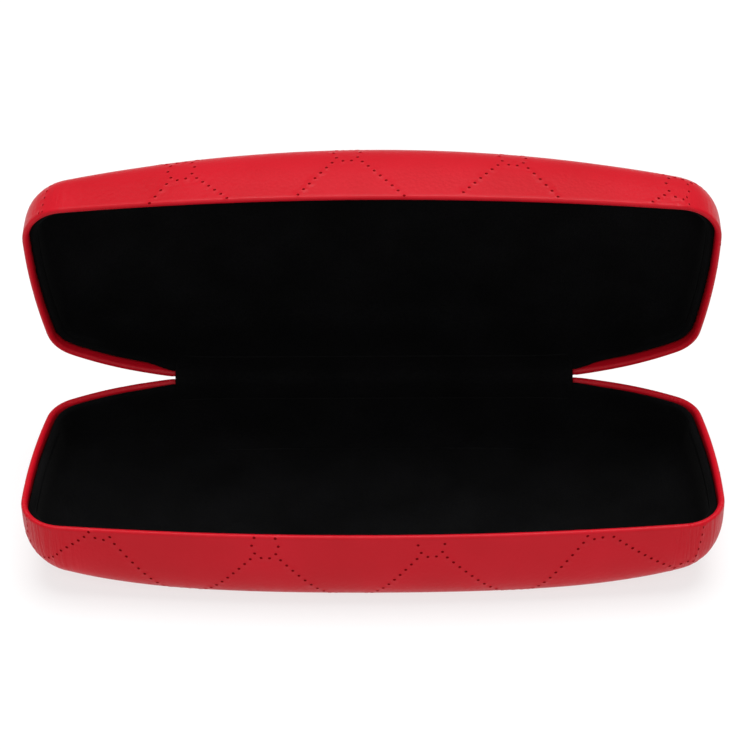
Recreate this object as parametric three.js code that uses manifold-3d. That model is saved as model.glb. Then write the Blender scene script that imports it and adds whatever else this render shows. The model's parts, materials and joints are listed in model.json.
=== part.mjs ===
// Hard eyeglasses case: two stamped steel half shells covered in leatherette, lined with black
// flock and joined along the back by a pinned snap hinge. It stands open, lid tipped up.
// Millimetres, +X along the length, +Y to the back, +Z up, origin under the middle of the base.
import * as THREE from 'three';
import { mergeVertices } from 'three/addons/utils/BufferGeometryUtils.js';
import Module from 'manifold-3d';

const wasm = await Module();
wasm.setup();

// ---- Plan outline of both halves: half of it, clockwise from the middle of the back ----
const BACK_STRAIGHT = 38.6;
const OUTLINE_ARCS = [
  { radius: 79.6, turn: 27.3, steps: 3 }, // back edge falling away towards the ends
  { radius: 9.7, turn: 53.3, steps: 3 }, // rear corner
  { radius: 173.5, turn: 10.5, steps: 2 }, // end
  { radius: 10.9, turn: 83.1, steps: 5 }, // front corner
];
const FRONT_STEPS = 3;
const HALF_LENGTH = 82.5;
const CASE_WIDTH = 62;

// ---- Shape of the two halves ----
const BASE_HEIGHT = 21.6; // rest face to the parting plane
const BASE_FORM = { side: -1, depth: 22.3, endLoss: 0.36, endPower: 4.4, crown: 0, flatAt: BASE_HEIGHT };
const LID_FORM = { side: 1, depth: 23.2, endLoss: 0.41, endPower: 2.05, crown: 0.04, flatAt: 30 };
const WALL_INSET = 9; // how far the wall and its rounding come in from the outline
const WALL_POWER = 5; // squareness of the rounding between wall and floor
const WALL_LEVELS = [0.45, 0.64, 0.8, 0.89, 0.94, 0.97, 1];
const FLOOR_SCALE = 0.55; // one ring on the floor, as a share of the floor's outline
const OPEN_ANGLE = 80;

// ---- Layers, as distances in from the outer surface ----
const RIM_GAP = 0.15; // parting plane to the top of each rim
const SKIN = 0.5; // leatherette
const STEEL_OUT = 0.6;
const STEEL_IN = 1.0;
const TURN_IN_OUT = 1.1; // the leatherette folded back down inside the rim
const TURN_IN_IN = 1.5;
const TURN_IN_DEPTH = 4.2;
const LINING_OUT = 1.1;
const LINING_OUT_AT_TURN_IN = 1.6;
const LINING_IN = 3.3;
const LINING_EDGE = 2.1; // the lining stops this far below the parting plane
const LAYER_GAP = 0.1;

// ---- Hinge ----
const AXIS_INSET = 0.8; // hinge axis, in from the back of the outline, on the parting plane
const NOTCH_RADIUS = 2.4;
const NOTCH_HALF = 49.5;
const PIN_RADIUS = 0.7;
const PIN_HEAD_RADIUS = 1.15;
const PIN_HEAD = 0.5;
const BORE_RADIUS = 0.8;
const KNUCKLE_RADIUS = 1.3;
const LEAF = 1.0;
const LEAF_HALF = 37.5;
const LEAF_NEAR = 1.55; // leaf plate, nearest and farthest from the axis
const LEAF_FAR = 7.5;
const KNUCKLE_GAP = 0.2;
const MIDDLE_KNUCKLE_HALF = 12.4;
const LID_KNUCKLE = 12.2;
const CAM_FLAT = 1.2; // axis to the flat the springs bear on when the case is open
const RIVET_X = [-32, -18.7, 18.7, 32];
const RIVET_DEPTH = 4.8;
const RIVET_RADIUS = 0.9;
const RIVET_HOLE = 1.0;
const RIVET_HEAD_RADIUS = 1.6;
const RIVET_HEAD = 0.35;
const SPRING = 0.3;
const SPRING_WIDTH = 7;
const SPRING_FOOT = -7;
const SPRING_TIP = 0.9;
const CLEAR = 0.05;
const POCKET_GAP = 0.2; // round a rivet head
const SPRING_GAP = 0.4; // round a spring's edges
const LEAF_GAP = 0.7; // past the ends of the leaves
const CAM_FLAT_END = 1; // a knuckle's end to its flat
const CAM_FLAT_TOP = 0.6;
const BORE_LENGTH = 4;
const ROUND_SEGMENTS = 20;
const PIN_SEGMENTS = 16;
const RIVET_SEGMENTS = 12;
const DOME_SHARE = 0.7; // a rivet head's crown, as a share of its radius
const DOME_RISE = 0.8;

// ---- Strips across the hinge ----
const BRIDGE_LINING = 0.4;
const BRIDGE_LINING_REACH = 5;
const BRIDGE_COVER = 0.5;
const BRIDGE_COVER_EDGE = 0.2;
const BRIDGE_COVER_REACH = 6;
const BRIDGE_HALF = 49.4;
const BRIDGE_COVER_RADIUS = 1.45;
const BRIDGE_ARC_STEPS = 6;

const rad = THREE.MathUtils.degToRad;

// ---- Materials ----
const leatherette = new THREE.MeshStandardMaterial({ color: 0xb01c2c, roughness: 0.5, metalness: 0 });
const flock = new THREE.MeshStandardMaterial({ color: 0x0c0c0d, roughness: 1, metalness: 0 });
const sheetSteel = new THREE.MeshStandardMaterial({ color: 0x8f9296, roughness: 0.45, metalness: 1 });
const springSteel = new THREE.MeshStandardMaterial({ color: 0x6f7378, roughness: 0.3, metalness: 1 });
const rivetSteel = new THREE.MeshStandardMaterial({ color: 0xb9bbbd, roughness: 0.35, metalness: 1 });

// ---- Solids ----
const SLIVER_HEIGHT = 0.0005;
const SLIVER_ROUNDS = 8;
const WELD = 1e-5;

function toManifold(geometry) {
  const clean = geometry.clone();
  clean.deleteAttribute('normal');
  clean.deleteAttribute('uv');
  const welded = mergeVertices(clean, WELD);
  return new wasm.Manifold(new wasm.Mesh({
    numProp: 3,
    vertProperties: new Float32Array(welded.attributes.position.array),
    triVerts: new Uint32Array(welded.index.array),
  }));
}

// A cut across flat facets can leave triangles with no height. Each is merged into the triangle
// on the far side of its longest edge by turning that edge.
function turnSlivers(points, faces) {
  const edgeKey = (a, b) => a * points.length + b;
  for (let round = 0; round < SLIVER_ROUNDS; round++) {
    const faceOfEdge = new Map();
    faces.forEach(([a, b, c], i) => {
      faceOfEdge.set(edgeKey(a, b), i).set(edgeKey(b, c), i).set(edgeKey(c, a), i);
    });
    const touched = new Set();
    faces.forEach(([a, b, c], i) => {
      const turns = [[a, b, c], [b, c, a], [c, a, b]];
      const long = (t) => points[t[0]].distanceTo(points[t[1]]);
      const [p, q, r] = turns.reduce((best, t) => (long(t) > long(best) ? t : best));
      const height = new THREE.Triangle(points[p], points[q], points[r]).getArea() / long([p, q]);
      const mate = faceOfEdge.get(edgeKey(q, p));
      if (height > SLIVER_HEIGHT || touched.has(i) || touched.has(mate)) return;
      const far = faces[mate].find((v) => v !== p && v !== q);
      if (faceOfEdge.has(edgeKey(r, far)) || faceOfEdge.has(edgeKey(far, r))) return;
      faces[i] = [r, p, far];
      faces[mate] = [far, q, r];
      touched.add(i).add(mate);
    });
    if (touched.size === 0) return;
  }
}

function toGeometry(solid) {
  const { vertProperties, triVerts } = solid.getMesh();
  const points = [];
  for (let i = 0; i < vertProperties.length; i += 3) {
    points.push(new THREE.Vector3(...vertProperties.slice(i, i + 3)));
  }
  const faces = [];
  for (let i = 0; i < triVerts.length; i += 3) {
    faces.push([...triVerts.slice(i, i + 3)]);
  }
  turnSlivers(points, faces);
  const geometry = new THREE.BufferGeometry().setFromPoints(points);
  geometry.setIndex(faces.flat());
  geometry.computeVertexNormals();
  return geometry;
}

function join(geometries) {
  return toGeometry(geometries.map(toManifold).reduce((whole, piece) => whole.add(piece)));
}

function cut(geometry, tools) {
  const whole = toManifold(geometry);
  return toGeometry(tools.map(toManifold).reduce((rest, tool) => rest.subtract(tool), whole));
}

function box(x0, x1, y0, y1, z0, z1) {
  const geometry = new THREE.BoxGeometry(x1 - x0, y1 - y0, z1 - z0);
  return geometry.translate((x0 + x1) / 2, (y0 + y1) / 2, (z0 + z1) / 2);
}

// Round bar along X, its middle on the hinge axis.
function barAlongX(radius, x0, x1, segments) {
  const geometry = new THREE.CylinderGeometry(radius, radius, x1 - x0, segments);
  return geometry.rotateZ(Math.PI / 2).translate((x0 + x1) / 2, 0, 0);
}

// Turns a mesh the right way out.
function outward(points, faces) {
  let volume = 0;
  for (const [a, b, c] of faces) {
    volume += points[a].dot(new THREE.Vector3().crossVectors(points[b], points[c]));
  }
  const order = volume < 0 ? (f) => [f[0], f[2], f[1]] : (f) => f;
  const geometry = new THREE.BufferGeometry().setFromPoints(points);
  geometry.setIndex(faces.flatMap(order));
  geometry.computeVertexNormals();
  return geometry;
}

// ---- Outline ----
// Points with the direction straight in from the edge, clockwise from the middle of the back.
function caseOutline() {
  const half = [];
  const put = (x, y, heading) => {
    half.push({ x, y, inX: -Math.sin(heading), inY: -Math.cos(heading) });
  };
  put(0, 0, 0);
  put(BACK_STRAIGHT / 2, 0, 0);
  put(BACK_STRAIGHT, 0, 0);
  let heading = 0;
  for (const { radius, turn, steps } of OUTLINE_ARCS) {
    const start = half[half.length - 1];
    const centreX = start.x + start.inX * radius;
    const centreY = start.y + start.inY * radius;
    for (let i = 1; i <= steps; i++) {
      const h = heading + (rad(turn) * i) / steps;
      put(centreX + radius * Math.sin(h), centreY + radius * Math.cos(h), h);
    }
    heading += rad(turn);
  }
  const corner = half[half.length - 1];
  const frontRadius = corner.x / Math.sin(Math.PI - heading);
  const centreY = corner.y + corner.inY * frontRadius;
  for (let i = 1; i <= FRONT_STEPS; i++) {
    const h = heading + ((Math.PI - heading) * i) / FRONT_STEPS;
    put(frontRadius * Math.sin(h), centreY + frontRadius * Math.cos(h), h);
  }
  const other = half.slice(1, -1).reverse().map((p) => ({ x: -p.x, y: p.y, inX: -p.inX, inY: p.inY }));
  return [...half, ...other];
}

const outline = caseOutline();

// Back edge of the outline moved in by a distance, at one place along the length.
function backLine(x, inset) {
  const edge = outline.filter((p) => p.y > -CASE_WIDTH / 4 && p.x >= 0);
  const moved = edge.map((p) => [p.x + p.inX * inset, p.y + p.inY * inset]);
  const i = moved.findIndex((p, k) => k > 0 && p[0] >= Math.abs(x));
  const [x0, y0] = moved[i - 1];
  const [x1, y1] = moved[i];
  return y0 + ((y1 - y0) * (Math.abs(x) - x0)) / (x1 - x0);
}

// ---- Outer surface of one half, as rings from the parting plane to the middle of the floor ----
function outerHeight(form, x, share) {
  const ends = 1 - form.endLoss * Math.abs(x / HALF_LENGTH) ** form.endPower;
  return form.side * Math.min(form.flatAt, form.depth * share * ends);
}

function wallPoint(form, p, level) {
  const inset = WALL_INSET * (1 - Math.sqrt(1 - level ** WALL_POWER));
  const x = p.x + p.inX * inset;
  return new THREE.Vector3(x, p.y + p.inY * inset, outerHeight(form, x, level * (1 - form.crown)));
}

function floorPoint(form, p, scale) {
  const x = (p.x + p.inX * WALL_INSET) * scale;
  const y = (p.y + p.inY * WALL_INSET + CASE_WIDTH / 2) * scale - CASE_WIDTH / 2;
  return new THREE.Vector3(x, y, outerHeight(form, x, 1 - form.crown * scale * scale));
}

function outerRings(form) {
  const rings = [0, ...WALL_LEVELS].map((level) => outline.map((p) => wallPoint(form, p, level)));
  rings.push(outline.map((p) => floorPoint(form, p, FLOOR_SCALE)));
  return rings;
}

// Direction into the case at every point of the rings.
function inwardNormals(form, rings) {
  const centre = floorPoint(form, outline[0], 0);
  return rings.map((ring, i) => ring.map((p, k) => {
    const along = ring[(k + 1) % ring.length].clone().sub(ring.at(k - 1));
    const above = i > 0 ? rings[i - 1][k] : p;
    const below = i < rings.length - 1 ? rings[i + 1][k] : centre;
    const normal = new THREE.Vector3().crossVectors(along, below.clone().sub(above)).normalize();
    return normal.multiplyScalar(form.side);
  }));
}

// One sheet of the half, a distance in from the outer surface: rings below the rim, then a centre.
function sheet(form, distance) {
  const rings = outerRings(form);
  const normals = inwardNormals(form, rings);
  const moved = rings.map((ring, i) => {
    return ring.map((p, k) => p.clone().addScaledVector(normals[i][k], distance));
  });
  const centre = floorPoint(form, outline[0], 0);
  centre.z -= form.side * distance;
  return { rings: moved.slice(1), centre };
}

// A ring round the wall near the rim, a distance in from the outline and a depth below parting.
function rimRing(form, inset, depth) {
  return outline.map((p) => new THREE.Vector3(p.x + p.inX * inset, p.y + p.inY * inset, form.side * depth));
}

// Closed tray: outer sheet up to the rim, across it, and down the inner sheet. Both sheets split
// their four-sided facets along the same diagonal, so nested layers keep an even gap.
function tray(outer, rimRings, inner) {
  const rings = [...outer.rings].reverse().concat(rimRings, inner.rings);
  const size = outline.length;
  const points = rings.flat();
  const faces = [];
  const outerCount = outer.rings.length + rimRings.length / 2;
  for (let r = 0; r < rings.length - 1; r++) {
    for (let k = 0; k < size; k++) {
      const a = r * size + k;
      const b = r * size + ((k + 1) % size);
      if (r < outerCount) faces.push([a, b, a + size], [b, b + size, a + size]);
      else faces.push([a, b, b + size], [a, b + size, a + size]);
    }
  }
  const last = points.length - size;
  points.push(outer.centre, inner.centre);
  for (let k = 0; k < size; k++) {
    const next = (k + 1) % size;
    faces.push([points.length - 2, next, k], [points.length - 1, last + k, last + next]);
  }
  return outward(points, faces);
}

// ---- Tools that make room for the hinge, one half ----
function hingeNotch() {
  return barAlongX(NOTCH_RADIUS, -NOTCH_HALF, NOTCH_HALF, ROUND_SEGMENTS).translate(0, -AXIS_INSET, 0);
}

// Box against the inside of the back wall, its depths given below the parting plane.
function wallBox(form, x0, x1, y0, y1, depth0, depth1) {
  const z0 = form.side > 0 ? depth0 : -depth1;
  const z1 = form.side > 0 ? depth1 : -depth0;
  return box(x0, x1, -y1, -y0, z0, z1);
}

function rivetBore(form, x, radius) {
  const bore = new THREE.CylinderGeometry(radius, radius, BORE_LENGTH, RIVET_SEGMENTS);
  return bore.translate(x, -KNUCKLE_RADIUS, form.side * RIVET_DEPTH);
}

// ---- Layers of one half ----
function cover(form) {
  const rounding = TURN_IN_IN / 2;
  const rim = [
    rimRing(form, 0, RIM_GAP + rounding),
    rimRing(form, rounding * (1 - Math.SQRT1_2), RIM_GAP + rounding * (1 - Math.SQRT1_2)),
    rimRing(form, rounding, RIM_GAP),
    rimRing(form, rounding * (1 + Math.SQRT1_2), RIM_GAP + rounding * (1 - Math.SQRT1_2)),
    rimRing(form, TURN_IN_IN, RIM_GAP + rounding),
    rimRing(form, TURN_IN_IN, TURN_IN_DEPTH),
    rimRing(form, TURN_IN_OUT, TURN_IN_DEPTH),
    rimRing(form, TURN_IN_OUT, RIM_GAP + STEEL_OUT),
    rimRing(form, SKIN, RIM_GAP + STEEL_OUT),
  ];
  const whole = tray(sheet(form, 0), rim, sheet(form, SKIN));
  const half = LEAF_HALF + LEAF_GAP;
  const leafRoom = wallBox(form, -half, half, SKIN + CLEAR, TURN_IN_IN + LEAF, 0, TURN_IN_DEPTH + SKIN);
  return cut(whole, [hingeNotch(), leafRoom]);
}

function shell(form) {
  const edge = RIM_GAP + STEEL_OUT + LAYER_GAP;
  const whole = tray(
    sheet(form, STEEL_OUT),
    [rimRing(form, STEEL_OUT, edge), rimRing(form, STEEL_IN, edge)],
    sheet(form, STEEL_IN),
  );
  return cut(whole, [hingeNotch(), ...RIVET_X.map((x) => rivetBore(form, x, RIVET_HOLE))]);
}

function lining(form, pockets) {
  const step = TURN_IN_DEPTH + LAYER_GAP;
  const rim = [
    rimRing(form, LINING_OUT, step),
    rimRing(form, LINING_OUT_AT_TURN_IN, step),
    rimRing(form, LINING_OUT_AT_TURN_IN, LINING_EDGE),
    rimRing(form, LINING_IN, LINING_EDGE),
  ];
  const whole = tray(sheet(form, LINING_OUT), rim, sheet(form, LINING_IN));
  const behind = AXIS_INSET + KNUCKLE_RADIUS + LAYER_GAP;
  const half = LEAF_HALF + LEAF_GAP;
  const leafRoom = wallBox(form, -half, half, 0, behind, 0, LEAF_FAR + SPRING_GAP);
  return cut(whole, [leafRoom, ...pockets]);
}

// Room in a lining for what stands on the leaf: a rivet head, or a spring with its rivet.
function rivetPocket(form, x) {
  const reach = AXIS_INSET + KNUCKLE_RADIUS + CLEAR + RIVET_HEAD + LAYER_GAP;
  const half = RIVET_HEAD_RADIUS + POCKET_GAP;
  return wallBox(form, x - half, x + half, 0, reach, RIVET_DEPTH - half, RIVET_DEPTH + half);
}

function springPocket(form, x) {
  const reach = AXIS_INSET + KNUCKLE_RADIUS + 2 * CLEAR + SPRING + RIVET_HEAD + LAYER_GAP;
  const half = SPRING_WIDTH / 2 + SPRING_GAP;
  return wallBox(form, x - half, x + half, 0, reach, 0, -SPRING_FOOT + SPRING_GAP);
}

// ---- Hinge pieces, measured from the hinge axis, in the closed position ----
function baseKnuckles() {
  const inner = MIDDLE_KNUCKLE_HALF + 2 * KNUCKLE_GAP + LID_KNUCKLE;
  return [[-LEAF_HALF, -inner], [-MIDDLE_KNUCKLE_HALF, MIDDLE_KNUCKLE_HALF], [inner, LEAF_HALF]];
}

function lidKnuckles() {
  const inner = MIDDLE_KNUCKLE_HALF + KNUCKLE_GAP;
  return [[-inner - LID_KNUCKLE, -inner], [inner, inner + LID_KNUCKLE]];
}

// Leaf plate with a web up to each rolled knuckle, drilled for the pin and the rivets.
function hingeLeaf(form, knuckles, flats) {
  const face = KNUCKLE_RADIUS;
  const pieces = [wallBox(form, -LEAF_HALF, LEAF_HALF, face - LEAF, face, LEAF_NEAR, LEAF_FAR)];
  for (const [x0, x1] of knuckles) {
    pieces.push(barAlongX(KNUCKLE_RADIUS, x0, x1, ROUND_SEGMENTS));
    pieces.push(wallBox(form, x0, x1, face - LEAF, face, 0, LEAF_NEAR + LEAF));
  }
  const holes = RIVET_X.map((x) => rivetBore(form, x, RIVET_HOLE));
  const bore = barAlongX(BORE_RADIUS, -LEAF_HALF - LEAF_GAP, LEAF_HALF + LEAF_GAP, PIN_SEGMENTS);
  return cut(join(pieces), [bore, ...holes, ...flats]);
}

// Flats on the lid's knuckles that face the springs when the case is open.
function camFlats() {
  return lidKnuckles().map(([x0, x1]) => {
    const [from, to] = [x0 + CAM_FLAT_END, x1 - CAM_FLAT_END];
    const flat = box(from, to, -2 * CAM_FLAT, -CAM_FLAT, -CAM_FLAT, CAM_FLAT_TOP);
    return flat.rotateX(rad(OPEN_ANGLE));
  });
}

function hingePin() {
  const end = LEAF_HALF + CLEAR;
  const profile = [
    [0, -end - PIN_HEAD],
    [PIN_HEAD_RADIUS, -end - PIN_HEAD],
    [PIN_HEAD_RADIUS, -end],
    [PIN_RADIUS, -end],
    [PIN_RADIUS, end],
    [PIN_HEAD_RADIUS, end],
    [PIN_HEAD_RADIUS, end + PIN_HEAD],
    [0, end + PIN_HEAD],
  ];
  const points = profile.map(([r, h]) => new THREE.Vector2(r, h));
  return new THREE.LatheGeometry(points, PIN_SEGMENTS).rotateZ(-Math.PI / 2);
}

// Flat spring: seated on the base's leaf, its free tip beside a knuckle of the lid's.
function snapSpring() {
  const near = KNUCKLE_RADIUS + CLEAR;
  const half = SPRING_WIDTH / 2;
  const blade = box(-half, half, -near - SPRING, -near, SPRING_FOOT, SPRING_TIP);
  const bore = new THREE.CylinderGeometry(RIVET_HOLE, RIVET_HOLE, BORE_LENGTH, RIVET_SEGMENTS);
  return cut(blade, [bore.translate(0, -near, -RIVET_DEPTH)]);
}

// Rivet flush in the steel shell, headed over on what it clamps, standing along -Y.
function rivet(stack) {
  const start = STEEL_OUT + CLEAR;
  const headed = AXIS_INSET + KNUCKLE_RADIUS + CLEAR + stack;
  const profile = [
    [0, start],
    [RIVET_RADIUS, start],
    [RIVET_RADIUS, headed],
    [RIVET_HEAD_RADIUS, headed],
    [RIVET_HEAD_RADIUS * DOME_SHARE, headed + RIVET_HEAD * DOME_RISE],
    [0, headed + RIVET_HEAD],
  ];
  const points = profile.map(([r, h]) => new THREE.Vector2(r, h));
  return new THREE.LatheGeometry(points, RIVET_SEGMENTS).rotateX(Math.PI);
}

// ---- Flexible strips across the hinge, in the open position, measured from the hinge axis ----
// The lid's half of a path mirrors the base's half, then tips back with the lid.
function withLidHalf(path) {
  const turn = rad(OPEN_ANGLE);
  const lidHalf = [...path].reverse().map(([y, z]) => [
    y * Math.cos(turn) - z * Math.sin(turn),
    -y * Math.sin(turn) - z * Math.cos(turn),
  ]);
  return [...path, ...lidHalf];
}

function arcPath(radius, from, to) {
  const path = [];
  for (let i = 0; i < BRIDGE_ARC_STEPS; i++) {
    const angle = from + ((to - from) * i) / (BRIDGE_ARC_STEPS - 0.5);
    path.push([radius * Math.cos(angle), radius * Math.sin(angle)]);
  }
  return path;
}

// Inside: down the wall, and round the hinge on the side that faces into the case.
function liningPath(x, lift) {
  const radius = -backLine(x, LINING_IN + LAYER_GAP) - AXIS_INSET + lift;
  const middle = Math.PI - rad(OPEN_ANGLE) / 2;
  return withLidHalf([[-radius, -BRIDGE_LINING_REACH], ...arcPath(radius, Math.PI, middle)]);
}

// Outside: up the back wall, then over the knuckles on the side that faces away.
function coverPath(x, lift, edgeLift) {
  const wall = backLine(x, -CLEAR) + AXIS_INSET;
  const radius = BRIDGE_COVER_RADIUS + lift;
  const start = Math.atan2(-Math.sqrt(radius ** 2 - (wall + lift) ** 2), wall + lift);
  const middle = -rad(OPEN_ANGLE) / 2;
  return withLidHalf([[wall + edgeLift, -BRIDGE_COVER_REACH], ...arcPath(radius, start, middle)]);
}

// Closed ribbon between two surfaces, each a row of paths at stations along X.
function ribbon(stations, innerPath, outerPath) {
  const inner = stations.map((x) => innerPath(x).map(([y, z]) => new THREE.Vector3(x, y, z)));
  const outer = stations.map((x) => outerPath(x).map(([y, z]) => new THREE.Vector3(x, y, z)));
  const loops = stations.map((x, i) => [...inner[i], ...outer[i].reverse()]);
  const size = loops[0].length;
  const faces = [];
  for (let i = 0; i < stations.length - 1; i++) {
    for (let k = 0; k < size; k++) {
      const a = i * size + k;
      const b = i * size + ((k + 1) % size);
      faces.push([a, b, a + size], [b, b + size, a + size]);
    }
  }
  const last = (stations.length - 1) * size;
  for (let k = 0; k < size / 2 - 1; k++) {
    const mate = size - 1 - k;
    faces.push([k, mate, k + 1], [k + 1, mate, mate - 1]);
    faces.push([last + k, last + k + 1, last + mate], [last + k + 1, last + mate - 1, last + mate]);
  }
  return outward(loops.flat(), faces);
}

function stripStations() {
  return [-BRIDGE_HALF, -BACK_STRAIGHT, 0, BACK_STRAIGHT, BRIDGE_HALF];
}

function hingeLining() {
  return ribbon(stripStations(), (x) => liningPath(x, 0), (x) => liningPath(x, BRIDGE_LINING));
}

function spineCover() {
  return ribbon(
    stripStations(),
    (x) => coverPath(x, 0, 0),
    (x) => coverPath(x, BRIDGE_COVER, BRIDGE_COVER_EDGE),
  );
}

// ---- Assembly ----
function piece(name, geometry, material, parent, position = [0, 0, 0]) {
  const mesh = new THREE.Mesh(geometry, material);
  mesh.name = name;
  mesh.position.set(...position);
  parent.add(mesh);
}

// The three layers of a half, measured from the back of the outline on the parting plane.
function addLayers(word, form, parent, pockets) {
  piece(`${word}_cover`, cover(form), leatherette, parent);
  piece(`${word}_shell`, shell(form), sheetSteel, parent);
  piece(`${word}_lining`, lining(form, pockets), flock, parent);
}

function baseHalf() {
  const group = new THREE.Group();
  const sprung = RIVET_X.slice(1, 3);
  const plain = [RIVET_X[0], RIVET_X[3]];
  const pockets = [
    ...sprung.map((x) => springPocket(BASE_FORM, x)),
    ...plain.map((x) => rivetPocket(BASE_FORM, x)),
  ];
  addLayers('base', BASE_FORM, group, pockets);
  const axis = [0, -AXIS_INSET, 0];
  piece('hinge_leaf_base', hingeLeaf(BASE_FORM, baseKnuckles(), []), sheetSteel, group, axis);
  piece('hinge_pin', hingePin(), rivetSteel, group, axis);
  sprung.forEach((x, i) => {
    piece(`snap_spring_${i + 1}`, snapSpring(), springSteel, group, [x, -AXIS_INSET, 0]);
  });
  RIVET_X.forEach((x, i) => {
    const stack = sprung.includes(x) ? SPRING + CLEAR : 0;
    piece(`base_rivet_${i + 1}`, rivet(stack), rivetSteel, group, [x, 0, -RIVET_DEPTH]);
  });
  piece('hinge_lining', hingeLining(), flock, group, axis);
  piece('spine_cover', spineCover(), leatherette, group, axis);
  return group;
}

// Built closed, then tipped open about the hinge axis.
function lidHalf() {
  const closed = new THREE.Group();
  closed.position.set(0, AXIS_INSET, 0);
  addLayers('lid', LID_FORM, closed, RIVET_X.map((x) => rivetPocket(LID_FORM, x)));
  const lidLeaf = hingeLeaf(LID_FORM, lidKnuckles(), camFlats());
  piece('hinge_leaf_lid', lidLeaf, sheetSteel, closed, [0, -AXIS_INSET, 0]);
  RIVET_X.forEach((x, i) => {
    piece(`lid_rivet_${i + 1}`, rivet(0), rivetSteel, closed, [x, 0, RIVET_DEPTH]);
  });
  const group = new THREE.Group();
  group.position.set(0, -AXIS_INSET, 0);
  group.rotation.x = -rad(OPEN_ANGLE);
  group.add(closed);
  return group;
}

const eyeglassesCase = new THREE.Group();
eyeglassesCase.name = 'eyeglasses_case';
eyeglassesCase.position.set(0, CASE_WIDTH / 2, BASE_HEIGHT);
eyeglassesCase.add(baseHalf(), lidHalf());

export default eyeglassesCase;
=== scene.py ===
"""Looks for the hard eyeglasses case: leatherette covers with pricked dots, flocked linings,
the strips across the hinge, and materials for the hinge's steel pieces."""
import json
import math

import bpy
import numpy as np
from mathutils import Matrix
from mathutils.geometry import delaunay_2d_cdt


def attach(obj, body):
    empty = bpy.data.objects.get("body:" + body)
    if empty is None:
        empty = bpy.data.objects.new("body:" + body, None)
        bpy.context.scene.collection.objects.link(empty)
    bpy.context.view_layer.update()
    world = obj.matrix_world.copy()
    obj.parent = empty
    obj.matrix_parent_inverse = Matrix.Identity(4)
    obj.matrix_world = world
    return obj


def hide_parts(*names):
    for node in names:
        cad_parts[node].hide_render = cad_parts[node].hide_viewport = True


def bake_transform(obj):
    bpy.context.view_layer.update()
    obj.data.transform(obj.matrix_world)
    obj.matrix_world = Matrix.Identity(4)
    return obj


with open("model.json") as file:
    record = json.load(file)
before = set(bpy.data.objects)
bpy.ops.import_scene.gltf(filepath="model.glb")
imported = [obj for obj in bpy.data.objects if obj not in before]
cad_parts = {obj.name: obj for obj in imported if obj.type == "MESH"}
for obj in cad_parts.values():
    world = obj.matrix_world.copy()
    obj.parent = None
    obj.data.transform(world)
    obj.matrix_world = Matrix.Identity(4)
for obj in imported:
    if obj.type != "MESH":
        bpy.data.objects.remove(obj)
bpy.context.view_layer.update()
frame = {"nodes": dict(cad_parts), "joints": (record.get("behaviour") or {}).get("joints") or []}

MM = 0.001

# ---- The case's form, in millimetres, as in the CAD ----
BACK_STRAIGHT = 38.6
ARCS = ((79.6, 27.3), (9.7, 53.3), (173.5, 10.5), (10.9, 83.1))
HALF_LENGTH = 82.5
WIDTH = 62.0
BASE = {
    "word": "base",
    "side": -1,
    "depth": 22.3,
    "loss": 0.36,  # share of the depth lost at the ends
    "power": 4.4,
    "crown": 0.0,
    "flat": 21.6,
    "gather": 1.0,  # strength of the pleats in the corners
    "back_edge": 0.8,  # depth of the lining's edge along the back
}
LID = {
    "word": "lid",
    "side": 1,
    "depth": 23.2,
    "loss": 0.41,
    "power": 2.05,
    "crown": 0.04,
    "flat": 30.0,
    "gather": 0.3,
    "back_edge": 2.1,
}
INSET = 9.0  # how far the wall and its rounding come in from the outline
WALL_POWER = 5
BACK_BAND = -10.0  # the outline beyond this belongs to the back
NEAR_HINGE = 58.0  # from this far along the back, the rim and the lining change over
NEAR_HINGE_RAMP = 8.0
RIM_GAP = 0.15
RIM_WIDTH = 1.5
RIM_ROLL = 0.6  # radius of the rolled edge's outer side
RIM_ROLL_AT_HINGE = 0.3
TURN_IN_DEPTH = 4.2
TURN_IN_OUT = 1.1  # outer side of the part turned in, and of the lining below it
FOLD_DEPTH = 0.75  # inside of the fold over the rim
LINING_IN = 3.3
LINING_OUT = 1.6
LINING_EDGE = 2.1
LINING_EDGE_AT_HINGE = 0.35
LINING_OUT_AT_LEAF = 2.45
LEAF_ROOM_HALF = 39.0
SKIN = 0.5
NOTCH_HALF = 49.5
NOTCH_DEPTH = 2.2
SPINE_RADIUS = 1.45
STRIP_HALF = 49.4
STRIP_STATIONS = 83
CHUNK = 2000  # points handled at a time when distances are compared
JOINT = frame["joints"][0]
AXIS = np.array(JOINT["pos_m"]) / MM
OPEN = math.radians(JOINT["range_deg"][1])
PARTING = AXIS[2]
BACK = WIDTH / 2
AXIS_INSET = BACK - AXIS[1]
RNG = np.random.default_rng(7)


def to_row(points, half):
    """Points measured from the back of the closed outline on the parting plane, to row metres."""
    p = np.asarray(points, float) + [0, BACK, PARTING]
    if half is LID:
        p = tip_open(p - AXIS) + AXIS
    return p * MM


def tip_open(p):
    c, s = math.cos(-OPEN), math.sin(-OPEN)
    return np.stack([p[..., 0], c * p[..., 1] - s * p[..., 2], s * p[..., 1] + c * p[..., 2]], -1)


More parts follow.
